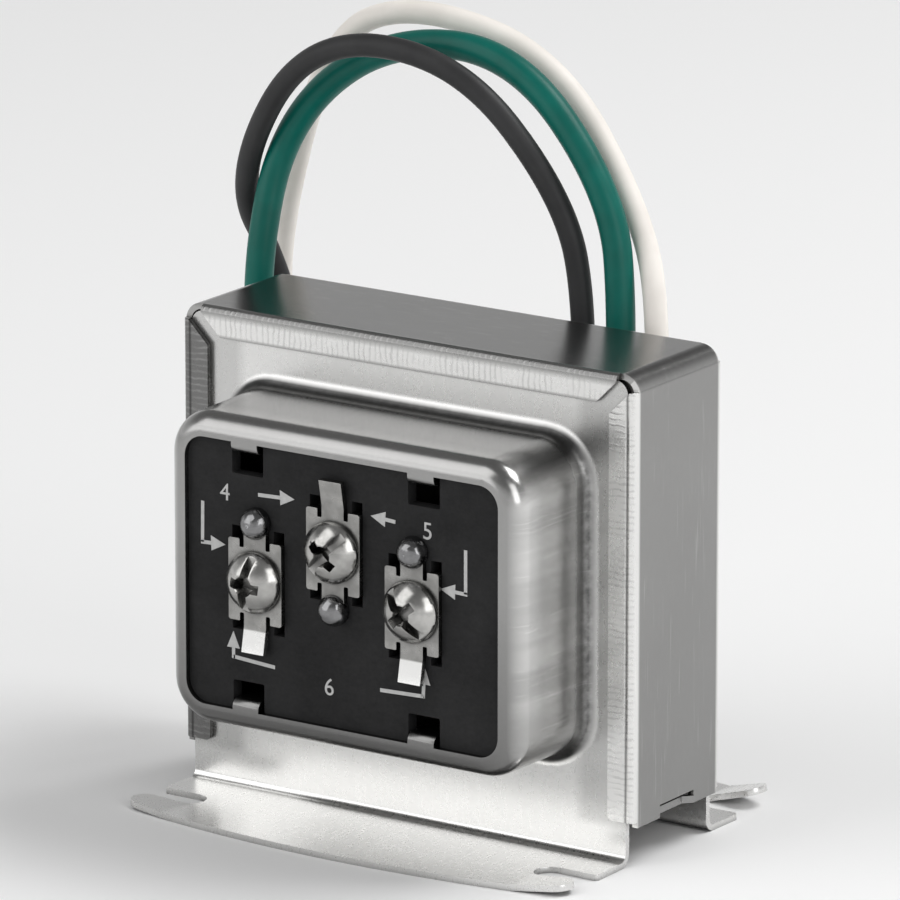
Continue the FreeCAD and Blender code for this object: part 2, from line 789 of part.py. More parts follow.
def terminal_plate():
    """Terminal plate in its own frame: screw hole at the centre, solder neck above and test tab below."""
    inner = plate_notch_inner
    outer = plate_notch_outer
    bottom = plate_half_length - plate_notch_depth
    root = plate_half_length + tab_root
    small = plate_notch_radius
    right = [
        (inner, plate_half_length + neck_length, neck_end_radius),
        (inner, bottom, small),
        (outer, bottom, small),
        (outer, plate_half_length, small),
        (plate_half_width, plate_half_length, plate_corner_radius),
        (plate_half_width, -plate_half_length, plate_corner_radius),
        (outer, -plate_half_length, small),
        (outer, -bottom, small),
        (inner, -bottom, small),
        (inner, -root, 0),
    ]
    left = [(-a, b, radius) for a, b, radius in reversed(right)]
    pieces = [outline(right + left, flat(plate_face)).extrude(axis_y * plate_thickness)]
    for a, b in claw_places():
        pieces.append(block(a - claw_width / 2, a + claw_width / 2, board_front, board_front + claw_length,
                            b - claw_thickness / 2, b + claw_thickness / 2))
    rise = math.radians(tab_rise)
    end_y = plate_face - tab_reach * math.sin(rise)
    end_z = -root - tab_reach * math.cos(rise)
    side = outline([
        (board_front, -root, 0),
        (plate_face, -root, 0),
        (end_y, end_z, 0),
        (end_y + plate_thickness * math.cos(rise), end_z - plate_thickness * math.sin(rise), 0),
    ], profile(-inner))
    pieces.append(side.extrude(axis_x * (2 * inner)))
    screw_base = Vector(0, plate_face, 0)
    screw_hole = Part.makeCylinder(screw_shank / 2 + screw_hole_gap, plate_thickness, screw_base, axis_y)
    tap_base = Vector(0, plate_face, solder_offset)
    tap_hole = Part.makeCylinder(tap_wire / 2 + tap_hole_gap, plate_thickness, tap_base, axis_y)
    return joined(pieces).cut(screw_hole).cut(tap_hole)


def screw():
    """Round-headed screw with a slot and a cross in its head, in a terminal's own frame."""
    head = screw_head / 2
    shank = screw_shank / 2

    def spot(radius, height):
        return Vector(radius, plate_face - height, 0)

    middle = math.sqrt(0.5) * head
    middle_height = screw_head_edge + cap_height(head, screw_head_height - screw_head_edge, middle)
    crown = spot(0, screw_head_height)
    below = [
        spot(head, screw_head_edge),
        spot(head, 0),
        spot(shank, 0),
        spot(shank, -screw_shank_length + screw_end_chamfer),
        spot(shank - screw_end_chamfer, -screw_shank_length),
        spot(0, -screw_shank_length),
        crown,
    ]
    edges = [Part.Arc(crown, spot(middle, middle_height), below[0]).toShape()]
    edges += [Part.LineSegment(start, end).toShape() for start, end in zip(below, below[1:])]
    whole = Part.Face(Part.Wire(edges)).revolve(origin, axis_y, 360)
    top = plate_face - screw_head_height
    half_slot = screw_slot_width / 2
    slot = block(-half_slot, half_slot, top, top + screw_slot_depth, -screw_head, screw_head)
    cross = outline([
        (-screw_cross_length / 2, top, 0),
        (screw_cross_length / 2, top, 0),
        (screw_cross_root / 2, top + screw_cross_depth, 0),
        (-screw_cross_root / 2, top + screw_cross_depth, 0),
    ], level(-half_slot)).extrude(axis_z * screw_slot_width)
    recess = Part.makeCone(screw_recess / 2, screw_recess_root / 2, screw_cross_depth, Vector(0, top, 0), axis_y)
    return whole.cut(slot).cut(cross).cut(recess)


def solder():
    """Drop of solder round the end of a terminal's neck, down to the board, in the terminal's own frame."""
    tall = plate_thickness + solder_height
    middle = math.sqrt(0.5) * solder_radius
    middle_height = cap_height(solder_radius, tall, middle)

    def spot(radius, rise):
        return Vector(radius, board_front - rise, solder_offset)

    edges = [
        Part.Arc(spot(0, tall), spot(middle, middle_height), spot(solder_radius, 0)).toShape(),
        Part.LineSegment(spot(solder_radius, 0), spot(0, 0)).toShape(),
        Part.LineSegment(spot(0, 0), spot(0, tall)).toShape(),
    ]
    drop = Part.Face(Part.Wire(edges)).revolve(Vector(0, 0, solder_offset), axis_y, 360)
    tap_base = Vector(0, plate_face, solder_offset)
    hole = Part.makeCylinder(tap_wire / 2 + tap_hole_gap, plate_thickness, tap_base, axis_y)
    return drop.cut(terminal_plate()).cut(hole)


def core_e():
    """Stack of E laminations, legs down."""
    half = core_width / 2
    yoke = window_top
    leg_end = window_bottom
    return outline([
        (-half, leg_end, 0),
        (-half, band_inner_top, core_corner_radius),
        (half, band_inner_top, core_corner_radius),
        (half, leg_end, 0),
        (half - core_leg, leg_end, 0),
        (half - core_leg, yoke, 0),
        (core_leg, yoke, 0),
        (core_leg, leg_end, 0),
        (-core_leg, leg_end, 0),
        (-core_leg, yoke, 0),
        (-half + core_leg, yoke, 0),
        (-half + core_leg, leg_end, 0),
    ], flat(-stack / 2)).extrude(axis_y * stack)


def core_i():
    """Stack of I laminations closing the legs."""
    half = core_width / 2
    return block(-half, half, -stack / 2, stack / 2, core_bottom, window_bottom)


def ring(inner_x, inner_y, inner_radius, build, bottom, top):
    """Rounded rectangular ring of a winding or a wrap."""
    outside = outline(rectangle(inner_x + build, inner_y + build, inner_radius + build), level(bottom))
    inside = outline(rectangle(inner_x, inner_y, inner_radius), level(bottom))
    return outside.cut(inside).extrude(axis_z * (top - bottom))


def bobbin():
    """Bobbin standing on the I laminations, with a flange at each end and one between the two chambers."""
    bottom = window_bottom
    top = window_top - bobbin_end_gap
    pieces = [ring(tube_half_width - bobbin_wall, tube_half_depth - bobbin_wall, 0, bobbin_wall, bottom, top)]
    flange = rectangle(bobbin_flange_half_width, bobbin_flange_half_depth, bobbin_corner_radius)
    for low in (bottom, window_middle - bobbin_flange / 2, top - bobbin_flange):
        pieces.append(outline(flange, level(low)).extrude(axis_z * bobbin_flange))
    whole = joined(pieces)
    bore = outline(rectangle(tube_half_width - bobbin_wall, tube_half_depth - bobbin_wall, 0), level(bottom))
    return whole.cut(bore.extrude(axis_z * (top - bottom)))


def chambers():
    """Bottom and top of the lower and the upper winding."""
    bottom = window_bottom + bobbin_flange
    top = window_top - bobbin_end_gap - bobbin_flange
    return (bottom, window_middle - bobbin_flange / 2), (window_middle + bobbin_flange / 2, top)


def winding(limits):
    return ring(tube_half_width, tube_half_depth, bobbin_wall, winding_build, *limits)


def wrap(limits):
    return ring(tube_half_width + winding_build, tube_half_depth + winding_build,
                bobbin_wall + winding_build, wrap_thickness, *limits)


def tap(centre, turn):
    """Tap of the secondary winding, out to the face of its terminal plate."""
    spot = seat(Part.Vertex(0, 0, solder_offset), centre, turn).Point
    inside = tube_half_depth + winding_build - sheet
    start = Vector(spot.x, -inside, spot.z)
    end = Vector(spot.x, plate_face, spot.z)
    if turn == 0:
        return Part.makeCylinder(tap_wire / 2, start.y - end.y, start, axis_y * -1)
    start.z = chambers()[1][0] + centre_tap_start_rise
    bend_y = -inside - tap_standoff
    points = [start, Vector(spot.x, bend_y, start.z), Vector(spot.x, bend_y, end.z), end]
    return bent_wire(points, tap_wire, tap_bend_radius)


def primary_lead_out(offset):
    """End of the primary winding, out through its wrap and up to the splice of its lead."""
    top = lead_point(offset, -splice_length)
    height = chambers()[0][1] - primary_wire_drop
    side = min(top.x, tube_half_width)
    points = [Vector(side, tube_half_depth, height), Vector(side, top.y, height)]
    if side < top.x:
        points.append(Vector(top.x, top.y, height))
    return bent_wire(points + [top], primary_wire, primary_wire_bend)


def ground_lug():
    """Strap from the earth lead's crimp to the back of the rear box."""
    way = lead_point(0.0, 1.0) - lead_point(0.0, 0.0)
    base = lead_point(0.0, -barrel_length)
    barrel = Part.makeCylinder(barrel_radius, barrel_length, base, way)
    back = rear_back - sheet
    x0 = lead_row_centre - lug_half_width
    x1 = lead_row_centre + lug_half_width
    shelf = block(x0, x1, base.y - barrel_radius / 2, back, base.z - lug_strap / 2, base.z + lug_strap / 2)
    low = base.z - lug_drop
    tongue = rectangle(lug_half_width, lug_drop / 2, lug_half_width / 2, lead_row_centre, low + lug_drop / 2)
    tongue = outline(tongue, flat(back - lug_strap)).extrude(axis_y * lug_strap)
    whole = joined([barrel, shelf, tongue])
    return whole.cut(Part.makeCylinder(rivet_shank / 2, 2 * lug_strap, rivet_point() - axis_y * lug_strap, axis_y))


def ground_rivet():
    """Rivet through the lug and the back of the rear box, with a domed head outside."""
    centre = rivet_point()
    head = rivet_head / 2
    tail = rivet_tail / 2
    shank = rivet_shank / 2
    outside = rear_back
    tail_face = centre.y - lug_strap
    tail_end = tail_face - rivet_tail_height
    crown = outside + rivet_head_height
    middle = math.sqrt(0.5) * head
    middle_height = cap_height(head, rivet_head_height, middle)

    def spot(radius, y):
        return Vector(centre.x + radius, y, centre.z)

    edges = [
        Part.LineSegment(spot(0, tail_end), spot(tail, tail_end)).toShape(),
        Part.LineSegment(spot(tail, tail_end), spot(tail, tail_face)).toShape(),
        Part.LineSegment(spot(tail, tail_face), spot(shank, tail_face)).toShape(),
        Part.LineSegment(spot(shank, tail_face), spot(shank, outside)).toShape(),
        Part.LineSegment(spot(shank, outside), spot(head, outside)).toShape(),
        Part.Arc(spot(head, outside), spot(middle, outside + middle_height), spot(0, crown)).toShape(),
        Part.LineSegment(spot(0, crown), spot(0, tail_end)).toShape(),
    ]
    return Part.Face(Part.Wire(edges)).revolve(centre, axis_y, 360)


def lead(name, offset, diameter, conductor, route):
    """Lead from inside the rear box to its stripped end, and the stripped conductor."""
    points = [lead_point(offset, 0.0), lead_point(offset, lead_first_run)]
    points += [Vector(*point) for point in route]
    solid, radii, length = tube(points, diameter)
    section = math.pi * diameter ** 2 / 4
    print(name, "radii", [round(radius, 1) for radius in radii], "smallest in diameters",
          round(min(radii) / diameter, 2), "length", round(length, 1),
          "volume ratio", round(solid.Volume / (section * length), 4))
    way = (points[-1] - points[-2]).normalize()
    bare = Part.makeCylinder(conductor / 2, stripped_length, points[-1], way)
    return solid, bare


def build():
    """Every node by name."""
    nodes = {
        "outer_band": band(),
        "front_cover": front_cover(),
        "rear_cover": rear_cover(),
        "terminal_board": board(),
    }
    lower, upper = chambers()
    primary = winding(lower)
    secondary = winding(upper)
    primary_wrap = wrap(lower)
    secondary_wrap = wrap(upper)
    screws = []
    joints = []
    for name, centre, turn, angle in terminals():
        nodes["terminal_" + name] = seat(terminal_plate(), centre, turn)
        screws.append(seat(screw(), centre, angle))
        joints.append(seat(solder(), centre, turn))
        wire = tap(centre, turn)
        nodes["tap_" + name] = wire.cut(secondary)
        secondary_wrap = secondary_wrap.cut(wire)
    nodes["terminal_screws"] = Part.makeCompound(screws)
    nodes["solder_joints"] = Part.makeCompound(joints)
    nodes["core_e_stack"] = core_e()
    nodes["core_i_stack"] = core_i()
    nodes["bobbin"] = bobbin()
    nodes["lead_bushing"] = bushing()
    for name, offset in (("start", -lead_pitch), ("finish", lead_pitch)):
        base = lead_point(offset, -splice_length)
        way = lead_point(offset, 0.0) - base
        splice = Part.makeCylinder(splice_radius, splice_length, base, way)
        nodes["primary_" + name + "_splice"] = splice
        wire = primary_lead_out(offset)
        nodes["primary_" + name + "_wire"] = wire.cut(primary).cut(splice)
        primary_wrap = primary_wrap.cut(wire)
    nodes["primary_winding"] = primary
    nodes["secondary_winding"] = secondary
    nodes["primary_wrap"] = primary_wrap
    nodes["secondary_wrap"] = secondary_wrap
    nodes["ground_lug"] = ground_lug()
    nodes["ground_rivet"] = ground_rivet()
    leads = [
        ("black", -lead_pitch, hot_lead_diameter, hot_conductor, black_route),
        ("green", 0.0, ground_lead_diameter, ground_conductor, green_route),
        ("white", lead_pitch, hot_lead_diameter, hot_conductor, white_route),
    ]
    for name, offset, diameter, conductor, route in leads:
        solid, bare = lead(name, offset, diameter, conductor, route)
        nodes["lead_" + name] = solid
        nodes["lead_" + name + "_end"] = bare
    return nodes


os.makedirs("parts", exist_ok=True)
for node_name, node in build().items():
    node.exportStep(os.path.join("parts", node_name + ".step"))
    print(node_name, "solids", len(node.Solids), "volume", round(node.Volume, 1), "valid", node.isValid())
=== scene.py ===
"""Looks of the doorbell transformer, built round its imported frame.

Metres, +Z up, the terminal side facing -Y. The sizes named below are millimetres and degrees,
apart from those of the lamps and the floor, which are metres.
"""

import math

import bmesh
import bpy
from mathutils import Matrix, Vector


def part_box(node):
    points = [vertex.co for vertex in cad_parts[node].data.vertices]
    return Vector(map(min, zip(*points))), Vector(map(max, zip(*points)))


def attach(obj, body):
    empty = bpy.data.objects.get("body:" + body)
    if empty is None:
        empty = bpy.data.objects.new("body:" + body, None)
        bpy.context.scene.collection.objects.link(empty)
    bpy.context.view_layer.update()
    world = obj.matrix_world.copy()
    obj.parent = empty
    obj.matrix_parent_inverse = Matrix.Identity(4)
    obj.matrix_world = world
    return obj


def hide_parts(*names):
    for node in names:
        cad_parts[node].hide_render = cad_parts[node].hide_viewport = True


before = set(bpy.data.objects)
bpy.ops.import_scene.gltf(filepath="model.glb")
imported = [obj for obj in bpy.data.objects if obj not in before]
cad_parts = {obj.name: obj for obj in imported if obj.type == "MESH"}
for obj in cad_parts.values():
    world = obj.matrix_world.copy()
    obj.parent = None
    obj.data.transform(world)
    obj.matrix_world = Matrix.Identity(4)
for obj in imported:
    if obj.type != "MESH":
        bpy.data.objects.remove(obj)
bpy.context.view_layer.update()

mm = 0.001

# Camera at the photograph's viewing angle
camera_place = (545.40, -809.22, 303.94)
camera_tilt = 15.09
camera_turn = 33.98
camera_lens = 369.14
camera_sensor = 36.0

# Leads: their routes, the same points as the solids'
lead_routes = {
    "black": [
        (7.30, 15.38, 41.98),
        (7.30, 16.01, 53.97),
        (4.7, 15.6, 66.6),
        (-8.6, 14.1, 81.2),
        (-28.4, 13.5, 81.2),
        (-39.9, 15.3, 63.0),
        (-36.8, 20.4, 51.8),
        (-31.5, 19.8, 34.1),
        (-32.0, 20.4, 23.5),
    ],
    "green": [
        (12.10, 15.38, 41.98),
        (12.10, 16.01, 53.97),
        (9.7, 17.6, 67.3),
        (-4.0, 18.8, 81.7),
        (-22.0, 19.0, 80.6),
        (-34.7, 18.2, 69.8),
        (-35.2, 12.9, 53.4),
        (-34.7, 14.2, 36.5),
        (-34.2, 14.2, 25.0),
    ],
    "white": [
        (16.90, 15.38, 41.98),
        (16.90, 16.01, 53.97),
        (11.5, 21.0, 64.4),
        (-1.8, 23.8, 80.4),
        (-21.0, 23.7, 84.2),
        (-32.4, 23.7, 78.9),
        (-39.4, 23.7, 55.6),
        (-38.8, 23.5, 42.5),
        (-37.9, 22.9, 32.0),
    ],
}
lead_diameters = {"black": 2.65, "green": 3.3, "white": 2.65}
lead_steps = 20
lead_round_steps = 7

# Stripped ends: twisted strands round a middle one
conductor_diameters = {"black": 1.2, "green": 1.6, "white": 1.2}
strip_length = 10.0
strand_twist = 150.0
outer_strands = 6
strands_across = 3
strand_sides = 8
strand_steps = 12

# Printed marks of the board, as X and Z on its face
ink_thickness = 0.02
ink_line_width = 0.42
arrow_length = 1.9
arrow_half_width = 0.85
number_height = 2.0
digit_share = 0.73
mark_numbers = [
    ("4", -16.3, 37.45),
    ("5", 10.3, 37.15),
    ("6", -2.6, 17.6),
]
mark_arrows = [
    [(-11.0, 38.72), (-6.4, 38.9)],
    [(-18.6, 36.7), (-18.66, 32.26), (-15.6, 32.4)],
    [(6.6, 38.45), (3.6, 38.65)],
    [(15.9, 36.5), (15.9, 31.8), (12.65, 31.9)],
    [(-9.3, 19.55), (-14.6, 19.9), (-14.6, 22.8)],
    [(5.0, 19.3), (10.4, 19.5), (10.6, 22.8)],
]

# Rounding of the sheared and punched edges
edge_round = 0.07
edge_segments = 2
sharp_angle = 32.0
flat_angle = 0.4
merge_distance = 0.002

# Zones of the band's finish: flanges, mitres, bends, and a groove beside each side bend. They also place a
# painted highlight on the bends, a painted reflection on the flanges' faces and painted shade on the top
# and in the grooves
flange_start = 8.3
flange_full = 8.5
bend_highlight_start = 7.6
bend_highlight_full = 8.0
mitre_start = -25.6
mitre_full = -25.5
right_half = 1.0
bend_top = 54.7
bend_bottom = 53.7
edge_bottom = 51.7
edge_top = 52.2
top_shade_start = 54.6
top_shade_full = 55.0
groove_start = 28.45
groove_middle = 28.7
groove_end = 28.95

# Zones of the covers' finish: drawn boxes, their base curves, walls and rims, and the feet. Most of them
# place painted shade and painted highlights
drawn_start = 8.02
drawn_full = 8.3
ring_start = 8.03
ring_full = 8.5
ring_end = 10.5
side_start = 21.5
side_full = 23.0
wall_gradient_full = 10.0
wall_gradient_end = 16.0
rim_highlight_start = 16.5
rim_highlight_full = 19.5
rim_bottom = 14.0
rim_top = 34.0
foot_top = 4.0
plate_bottom = 5.0

# Painted highlight on the lower tabs of the outer terminals: where it starts and where it is full
tab_highlight_heights = (23.6, 23.4)

# Reach of the painted shade in creases, and the pressed marks along the flanges
crease_width = 1.4
crease_samples = 8
tick_scale = 440.0

# Greys of the plating: the darkest one is reached in the painted shade, and the tab grey is a painted
# highlight
darkest_plating_grey = 0.02
band_grey = 0.86
cover_grey = 0.87
tab_highlight_grey = 0.88

# Floor just under the feet, in metres
floor_gap = 0.00002
floor_reach = 3.0
floor_grey = 0.9

# Brightness of the surroundings by the sine of the elevation
sky_levels = [(0.0, 0.9), (0.05, 0.9), (0.3, 0.62), (0.5, 0.25), (1.0, 0.2)]

# Lamps in metres and watts: name, place, size, power
lamp_aim = (0.0, 0.0, 0.03)
lamps = [
    ("key", (-0.5, -0.7, 0.9), (0.8, 0.8), 3.5),
    ("card", (-0.9, -1.2, 0.48), (1.4, 0.6), 3.2),
    ("fill", (0.9, -0.4, 0.5), (0.5, 0.8), 2.6),
    ("top", (0.45, 0.5, 1.0), (0.7, 0.5), 8.5),
]


class Value:
    """Output of a shader node. Arithmetic on it adds Math nodes."""

    def __init__(self, nodes, socket):
        self.nodes = nodes
        self.socket = socket

    def math(self, operation, *values):
        return self.nodes.node("ShaderNodeMath", {"operation": operation}, dict(enumerate(values)))

    def __add__(self, other):
        return self.math("ADD", self, other)

    def __sub__(self, other):
        return self.math("SUBTRACT", self, other)

    def __rsub__(self, other):
        return self.math("SUBTRACT", other, self)

    def __mul__(self, other):
        return self.math("MULTIPLY", self, other)

    def __abs__(self):
        return self.math("ABSOLUTE", self)

    __radd__ = __add__
    __rmul__ = __mul__


class Nodes:
    """Node tree under construction."""

    def __init__(self, tree):
        self.tree = tree

    def node(self, kind, settings=None, sockets=None, output=0):
        """Any node: its settings first, then the values or links of its sockets."""
        made = self.tree.nodes.new(kind)
        for key, setting in (settings or {}).items():
            if key == "stops":
                self.set_stops(made.color_ramp, setting)
            else:
                setattr(made, key, setting)
        for key, item in (sockets or {}).items():
            self.feed(made.inputs[key], item)
        return Value(self, made.outputs[output])

    def set_stops(self, ramp, stops):
        while len(ramp.elements) < len(stops):
            ramp.elements.new(0.5)
        for element, (position, shade) in zip(ramp.elements, stops):
            element.position = position
            element.color = shade

    def feed(self, socket, item):
        if isinstance(item, Value):
            self.tree.links.new(item.socket, socket)
        else:
            socket.default_value = item


class Surface(Nodes):
    """Material under construction, with its Principled shader."""

    def __init__(self, name, **constants):
        self.material = bpy.data.materials.new(name)
        self.material.use_nodes = True
        super().__init__(self.material.node_tree)
        self.shader = self.tree.nodes["Principled BSDF"]
        for key, amount in constants.items():
            self.shader.inputs[key.replace("_", " ")].default_value = amount
        self.place = self.node("ShaderNodeTexCoord", output="Object")

    def set(self, name, item):
        """Feeds a socket of the Principled shader."""
        self.feed(self.shader.inputs[name], item)

    def along(self, axis):
        """One coordinate of the object, in metres."""
        return self.node("ShaderNodeSeparateXYZ", None, {0: self.place}, axis)

    def ramp(self, value, low, high):
        """Zero at the low end, one at the high end, straight between."""
        return self.node("ShaderNodeMapRange", None, {"Value": value, "From Min": low, "From Max": high})

    def zone(self, coordinate, start, full):
        """Zero before the start, one past the full mark, both in millimetres."""
        return self.ramp(coordinate, start * mm, full * mm)

    def strip(self, coordinate, start, middle, end):
        """One in the middle of a strip, zero outside it."""
        return self.zone(coordinate, start, middle) * self.zone(coordinate, end, middle)

    def mix(self, factor, first, second):
        """Colour between two colours."""
        return self.node("ShaderNodeMix", {"data_type": "RGBA"}, {0: factor, 6: first, 7: second}, 2)

    def bump(self, height, strength, depth):
        """Relief of a given depth in millimetres."""
        sockets = {"Height": height, "Strength": strength, "Distance": depth * mm}
        return self.node("ShaderNodeBump", None, sockets)

    def stretched(self, scale, turn=(0, 0, 0)):
        """Object coordinates scaled and turned for a grain."""
        sockets = {"Vector": self.place, "Scale": scale, "Rotation": turn}
        return self.node("ShaderNodeMapping", None, sockets)

    def noise(self, scale, detail=3.0, rough=0.55, place=None):
        sockets = {"Vector": place or self.place, "Scale": scale, "Detail": detail, "Roughness": rough}
        return self.node("ShaderNodeTexNoise", None, sockets)

    def grain(self, scale, detail=4.0):
        """Noise drawn out along one direction."""
        return self.noise(1.0, detail, 0.6, self.stretched(scale))

    def streaks(self, scale, turn, low, high):
        """Marks along one direction, where a drawn-out noise is above the low level."""
        return self.ramp(self.noise(1.0, 2.0, 0.5, self.stretched(scale, turn)), low, high)

    def layers(self, axis, scale, distortion):
        """Even layers along an axis."""
        sockets = {"Vector": self.place, "Scale": scale, "Distortion": distortion}
        return self.node("ShaderNodeTexWave", {"bands_direction": axis}, sockets)

    def ticks(self, axis):
        """Short pressed marks in a row along an axis, a little uneven."""
        sockets = {"Vector": self.place, "Scale": tick_scale, "Distortion": 3.0, "Detail": 2.0,
                   "Detail Scale": 1.5}
        row = self.node("ShaderNodeTexWave", {"bands_direction": axis}, sockets, "Fac")
        return self.ramp(row, 0.6, 0.95)

    def painted_crease_shade(self, low, high):
        """One on open faces, zero deep in narrow creases: the mask of the painted shade in creases."""
        sockets = {"Distance": crease_width * mm}
        seen = self.node("ShaderNodeAmbientOcclusion", {"samples": crease_samples}, sockets, "AO")
        return self.ramp(seen, low, high)


def colour(red, green, blue):
    """Opaque colour."""
    return (red, green, blue, 1.0)


def grey(level):
    """Grey of plated metal, a trace warm."""
    return colour(level, level * 0.995, level * 0.98)


def band_steel():
    """Dull plating of the band: grain along the strap and crimp marks on the flanges, with a painted
    reflection on the top flange's face and the right flange.
    """
    made = Surface("band_steel", Metallic=1.0)
    across = abs(made.along("X"))
    depth = abs(made.along("Y"))
    height = made.along("Z")
    grain = made.grain((200.0, 2600.0, 200.0))
    cloud = made.noise(60.0, 2.0)
    speck = made.noise(1900.0)
    scratch = made.streaks((420.0, 3600.0, 130.0), (-0.45, 0.0, 0.0), 0.64, 0.72)
    # Painted shade: the tone falls towards the darkest grey deep in creases.
    painted_shade_factor = made.painted_crease_shade(0.3, 0.85)

    flange = made.zone(depth, flange_start, flange_full)
    side = made.zone(across - height, mitre_start, mitre_full)
    right = side * made.zone(made.along("X"), 0.0, right_half)
    groove = made.strip(across, groove_start, groove_middle, groove_end) * side * flange
    top_ticks = made.ticks("X")
    pressed_in = flange * made.ramp(made.noise(420.0), 0.36, 0.62)
    tick = (top_ticks + (made.ticks("Z") - top_ticks) * side) * pressed_in

    # Painted shade: the top of the band is darker.
    painted_top_shade = made.zone(height, top_shade_start, top_shade_full)
    # Painted highlight along the bends in front of the flanges, much stronger on the right.
    painted_bend_highlight = made.zone(depth, bend_highlight_start, bend_highlight_full)
    strap = 0.28 + cloud * 0.06 + speck * 0.04 + scratch * 0.08 - painted_top_shade * 0.13
    strap = strap + painted_bend_highlight * (0.18 + right * 0.45)
    # Painted reflection: the top flange's face and the right flange are much lighter, with fainter pressed
    # marks.
    top_face = made.zone(height, bend_top, bend_bottom) * made.zone(height, edge_bottom, edge_top)
    painted_flange_reflection = right + top_face * (1.0 - side)
    crimped = 0.18 + cloud * 0.04 + painted_flange_reflection * 0.76 + tick * (0.1 - painted_flange_reflection * 0.3)
    # Painted shade: the groove beside each side bend is darker, besides its sunken relief.
    tone = (strap + (crimped - strap) * flange) * (1.0 - groove * 0.75)
    made.set("Base Color", made.mix(painted_shade_factor * tone, grey(darkest_plating_grey), grey(band_grey)))
    made.set("Roughness", 0.15 + grain * 0.07 + speck * 0.06 + flange * 0.06)
    relief = grain * 0.25 + speck * 0.12 + cloud * 1.2 - scratch * 0.3 + tick * 0.9 - groove * 3.0
    made.set("Normal", made.bump(relief, 0.3, 0.04))
    return made.material


def cover_steel():
    """Bright plating of the covers, streaked by the draw where the boxes are pressed out. Painted shade
    darkens the boxes, their base curves, their top and bottom walls towards the base and the plate beside
    them; painted highlights lighten their side walls and rims.
    """
    made = Surface("cover_steel", Metallic=1.0)
    depth = abs(made.along("Y"))
    height = made.along("Z")
    grain = made.grain((2400.0, 300.0, 200.0))
    cloud = made.noise(70.0)
    speck = made.noise(2100.0)

    above_foot = made.zone(height, foot_top, plate_bottom)
    beside = made.zone(abs(made.along("X")), side_start, side_full)
    drawn = made.zone(depth, drawn_start, drawn_full) * above_foot
    wall = drawn * beside
    drag = made.streaks((60.0, 60.0, 460.0), (0.15, 0.0, 0.0), 0.4, 0.7) * wall
    line = made.streaks((240.0, 120.0, 3000.0), (0.12, 0.0, 0.0), 0.62, 0.7) * wall
    # Painted shade on the base curve round each box, patchy and stronger on the sides; it joins the
    # painted shade in creases and also roughens the curve.
    ring = made.strip(depth, ring_start, ring_full, ring_end)
    patchy = 0.55 + made.ramp(made.noise(1100.0), 0.3, 0.65) * 0.35
    stain_and_painted_shade = ring * above_foot * patchy * (0.65 + beside * 0.2)
    painted_shade_factor = made.painted_crease_shade(0.2, 0.75) * (1.0 - stain_and_painted_shade)

    # Painted shade: the plate beside the boxes is darker.
    plain = 0.8 + cloud * 0.1 + speck * 0.05 - beside * above_foot * 0.2
    # Painted highlight along the rims of the boxes.
    painted_rim_highlight = made.zone(depth, rim_highlight_start, rim_highlight_full) * made.zone(height, rim_bottom, rim_top)
    # Painted shade: the top and bottom walls darken towards the base.
    painted_wall_gradient = made.zone(depth, wall_gradient_end, wall_gradient_full) * (1.0 - beside)
    # Painted shade: the drawn boxes are much darker than the plate; painted reflection: their side walls
    # are lighter.
    pressed = 0.16 + cloud * 0.06 + speck * 0.04 - painted_wall_gradient * 0.1 + wall * 0.26 + painted_rim_highlight * 0.18
    pressed = pressed + drag * 0.14 + line * 0.1
    tone = painted_shade_factor * (plain + (pressed - plain) * drawn)
    made.set("Base Color", made.mix(tone, grey(darkest_plating_grey), grey(cover_grey)))
    made.set("Roughness", 0.22 + grain * 0.06 + speck * 0.06 - drawn * 0.04 + stain_and_painted_shade * 0.3)
    relief = grain * (0.2 - drawn * 0.15) + speck * 0.06 + cloud * 0.5 - line * 0.4 + drag * 0.8
    made.set("Normal", made.bump(relief, 0.3, 0.04))
    return made.material


def board_black():
    """Charcoal insulating board with a fine fibre."""
    made = Surface("board_black", Specular_IOR_Level=0.12)
    fibre = made.grain((900.0, 900.0, 2600.0))
    speck = made.noise(2600.0, 2.0)
    cloud = made.noise(140.0)
    shade = made.ramp(cloud * 0.5 + speck * 0.3 + fibre * 0.2, 0.35, 0.7)
    dark = colour(0.012, 0.012, 0.0125)
    light = colour(0.026, 0.026, 0.0265)
    made.set("Base Color", made.mix(shade, dark, light))
    made.set("Roughness", 0.52 + speck * 0.2)
    made.set("Normal", made.bump(speck * 0.6 + fibre * 0.4, 0.25, 0.03))
    return made.material


def ink():
    """Pale printing ink, slightly uneven."""
    made = Surface("legend_ink", Specular_IOR_Level=0.3)
    cover = made.noise(1500.0)
    made.set("Base Color", made.mix(cover, colour(0.36, 0.36, 0.36), colour(0.56, 0.56, 0.55)))
    made.set("Roughness", 0.55 + cover * 0.15)
    return made.material


def plated(name, tone, roughness, grain=(900.0, 900.0, 900.0), highlight_heights=None):
    """Plating with soft scuffs and painted shade in creases, and a painted highlight below a height where
    one is given.
    """
    made = Surface(name, Metallic=1.0)
    scuff = made.noise(420.0, 4.0)
    fine = made.grain(grain, 3.0)
    light = colour(*(channel * 1.1 for channel in tone))
    dark = colour(*(channel * 0.7 for channel in tone))
    # Painted shade in creases: the plating falls to this dark colour deep in them.
    crease_shade_colour = colour(*(channel * 0.16 for channel in tone))
    coat = made.mix(made.ramp(scuff, 0.35, 0.65), dark, light)
    # Painted highlight: below the given heights the plating turns pale grey.
    if highlight_heights:
        coat = made.mix(made.zone(made.along("Z"), *highlight_heights), coat, grey(tab_highlight_grey))
    made.set("Base Color", made.mix(made.painted_crease_shade(0.4, 0.95), crease_shade_colour, coat))
    made.set("Roughness", roughness + scuff * 0.12 + fine * 0.08)
    made.set("Normal", made.bump(fine * 0.6 + scuff * 0.4, 0.14, 0.04))
    return made.material


